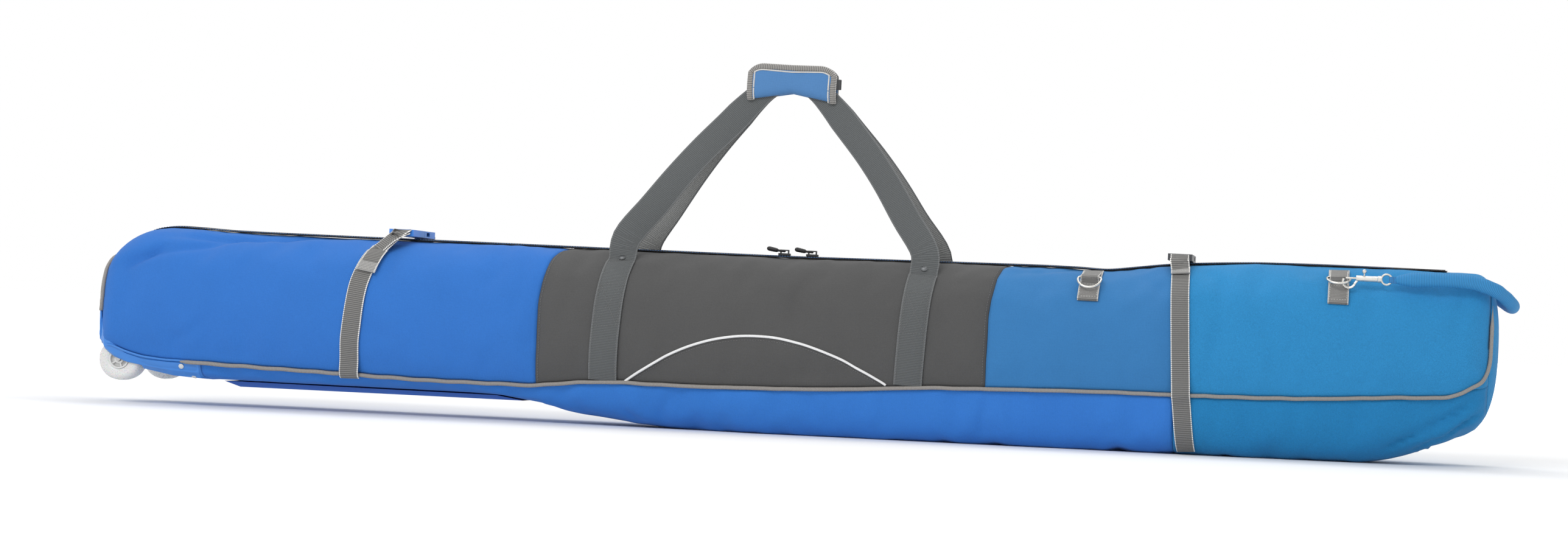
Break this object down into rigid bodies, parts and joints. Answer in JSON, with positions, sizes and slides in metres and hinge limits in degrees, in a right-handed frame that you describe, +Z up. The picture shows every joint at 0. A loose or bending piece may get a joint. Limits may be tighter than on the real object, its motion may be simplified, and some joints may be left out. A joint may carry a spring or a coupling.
{
  "type": "wheeled ski bag",
  "caption": "Long padded ski bag with wheels at one end, a full-length zip, webbing carry loops under a hand wrap, buckled compression straps and a clip-on tow strap.",
  "frame": {"origin": "on the floor under the middle of the bag's length and width, on the flat of the belly that the bag rests on", "axes": "+X along the bag from the wheel end to the nose, -Y towards the pocket side, which is the front, +Z up towards the zip and the carry handle"},
  "size_m": [1.9128, 0.165, 0.5005],
  "materials": {
    "royal_blue_fabric": "matte",
    "teal_blue_fabric": "matte",
    "steel_blue_fabric": "matte",
    "grey_fabric": "matte",
    "piping": "satin",
    "white_trim": "satin",
    "zip_tape": "matte",
    "handle_webbing": "matte",
    "strap_webbing": "matte",
    "blue_plastic": "satin",
    "dark_blue_plastic": "satin",
    "dark_grey_plastic": "satin",
    "hub_plastic": "satin",
    "wheel_tyre": "satin",
    "pull_rubber": "matte",
    "zinc_metal": "satin",
    "axle_steel": "satin"
  },
  "bodies": {
    "bag": {"front_panel_wheel_end": "royal_blue_fabric", "front_panel_centre": "grey_fabric", "front_panel_nose_side": "steel_blue_fabric", "front_panel_nose_hood": "teal_blue_fabric", "front_piping": "piping", "front_carry_band_wheel_side": "handle_webbing", "front_carry_band_nose_side": "handle_webbing", "front_rivet_wheel_side": "zinc_metal", "front_rivet_nose_side": "zinc_metal", "front_compression_strap_wheel_side": "strap_webbing", "front_compression_strap_nose_side": "strap_webbing", "front_ring_tab_nose": "strap_webbing", "back_panel_wheel_end": "royal_blue_fabric", "back_panel_centre": "grey_fabric", "back_panel_nose_side": "steel_blue_fabric", "back_panel_nose_hood": "teal_blue_fabric", "back_piping": "piping", "back_carry_band_wheel_side": "handle_webbing", "back_carry_band_nose_side": "handle_webbing", "back_rivet_wheel_side": "zinc_metal", "back_rivet_nose_side": "zinc_metal", "back_compression_strap_wheel_side": "strap_webbing", "back_compression_strap_nose_side": "strap_webbing", "back_ring_tab_nose": "strap_webbing", "front_ring_tab_side": "strap_webbing", "front_pocket_piping": "white_trim", "bottom_gusset": "royal_blue_fabric", "wheel_end_cap": "royal_blue_fabric", "nose_gusset": "teal_blue_fabric", "nose_cap": "teal_blue_fabric", "wheel_housing": "blue_plastic", "buckle_socket_wheel_side": "blue_plastic", "wheel_axle": "axle_steel", "base_runner": "dark_blue_plastic", "zip_tape": "zip_tape", "buckle_socket_nose_side": "dark_grey_plastic"},
    "front_handle": {"front_carry_loop": "handle_webbing", "front_hand_wrap": "royal_blue_fabric"},
    "back_handle": {"back_carry_loop": "handle_webbing", "back_hand_wrap": "royal_blue_fabric"},
    "front_wheel": {"front_wheel_hub": "hub_plastic", "front_wheel_tyre": "wheel_tyre"},
    "back_wheel": {"back_wheel_hub": "hub_plastic", "back_wheel_tyre": "wheel_tyre"},
    "wheel_side_slider": {"zip_slider_wheel_side": "zinc_metal"},
    "nose_side_slider": {"zip_slider_nose_side": "zinc_metal"},
    "wheel_side_pull": {"zip_pull_wheel_side": "pull_rubber"},
    "nose_side_pull": {"zip_pull_nose_side": "pull_rubber"},
    "wheel_side_buckle_plug": {"buckle_plug_wheel_side": "blue_plastic"},
    "nose_side_buckle_plug": {"buckle_plug_nose_side": "dark_grey_plastic"},
    "side_ring": {"front_d_ring_side": "zinc_metal"},
    "front_nose_ring": {"front_d_ring_nose": "zinc_metal"},
    "back_nose_ring": {"back_d_ring_nose": "zinc_metal"},
    "tow_strap": {"tow_strap": "teal_blue_fabric", "front_swivel_eye": "zinc_metal", "back_swivel_eye": "zinc_metal"},
    "front_hook": {"front_snap_hook": "zinc_metal"},
    "back_hook": {"back_snap_hook": "zinc_metal"},
    "front_bolt": {"front_snap_bolt": "zinc_metal"},
    "back_bolt": {"back_snap_bolt": "zinc_metal"}
  },
  "joints": [
    {"name": "front_handle_fold", "type": "hinge", "parent": "bag", "child": "front_handle", "pos_m": [-0.038, -0.047, 0.24], "axis": [1, 0, 0], "range_deg": [0, 135]},
    {"name": "back_handle_fold", "type": "hinge", "parent": "bag", "child": "back_handle", "pos_m": [-0.038, 0.047, 0.24], "axis": [-1, 0, 0], "range_deg": [0, 135]},
    {"name": "front_wheel_spin", "type": "hinge", "parent": "bag", "child": "front_wheel", "pos_m": [-0.904, -0.05, 0.0585], "axis": [0, 1, 0], "continuous": true},
    {"name": "back_wheel_spin", "type": "hinge", "parent": "bag", "child": "back_wheel", "pos_m": [-0.904, 0.05, 0.0585], "axis": [0, 1, 0], "continuous": true},
    {"name": "wheel_side_zip_slide", "type": "slide", "parent": "bag", "child": "wheel_side_slider", "axis": [1, 0, 0.0041], "range_m": [-0.43, 0]},
    {"name": "nose_side_zip_slide", "type": "slide", "parent": "bag", "child": "nose_side_slider", "axis": [0.9999, 0, 0.0154], "range_m": [0, 0.34]},
    {"name": "wheel_side_pull_flip", "type": "hinge", "parent": "wheel_side_slider", "child": "wheel_side_pull", "pos_m": [-0.038, 0, 0.24712], "axis": [0, 1, 0], "range_deg": [0, 130]},
    {"name": "nose_side_pull_flip", "type": "hinge", "parent": "nose_side_slider", "child": "nose_side_pull", "pos_m": [0, 0, 0.24748], "axis": [0, 1, 0], "range_deg": [0, 130]},
    {"name": "wheel_side_buckle_release", "type": "slide", "parent": "bag", "child": "wheel_side_buckle_plug", "axis": [0, -1, 0], "range_m": [0, 0.03]},
    {"name": "nose_side_buckle_release", "type": "slide", "parent": "bag", "child": "nose_side_buckle_plug", "axis": [0, -1, 0], "range_m": [0, 0.03]},
    {"name": "side_ring_swing", "type": "hinge", "parent": "bag", "child": "side_ring", "pos_m": [0.388, -0.0574, 0.23173], "axis": [-1, 0, 0], "range_deg": [0, 100]},
    {"name": "front_nose_ring_swing", "type": "hinge", "parent": "bag", "child": "front_nose_ring", "pos_m": [0.721, -0.05696, 0.24756], "axis": [-1, 0, 0], "range_deg": [-4, 4]},
    {"name": "back_nose_ring_swing", "type": "hinge", "parent": "bag", "child": "back_nose_ring", "pos_m": [0.721, 0.05696, 0.24756], "axis": [1, 0, 0], "range_deg": [-4, 4]},
    {"name": "tow_strap_lift", "type": "hinge", "parent": "bag", "child": "tow_strap", "pos_m": [0.73482, 0, 0.24278], "axis": [0, -1, 0], "range_deg": [0, 90]},
    {"name": "front_hook_swivel", "type": "hinge", "parent": "tow_strap", "child": "front_hook", "pos_m": [0.76, -0.06769, 0.24758], "axis": [1, 0, 0], "range_deg": [-8, 8]},
    {"name": "back_hook_swivel", "type": "hinge", "parent": "tow_strap", "child": "back_hook", "pos_m": [0.76, 0.06769, 0.24758], "axis": [1, 0, 0], "range_deg": [-8, 8]},
    {"name": "front_bolt_draw", "type": "slide", "parent": "front_hook", "child": "front_bolt", "axis": [1, 0, 0], "range_m": [0, 0.006]},
    {"name": "back_bolt_draw", "type": "slide", "parent": "back_hook", "child": "back_bolt", "axis": [1, 0, 0], "range_m": [0, 0.006]}
  ]
}
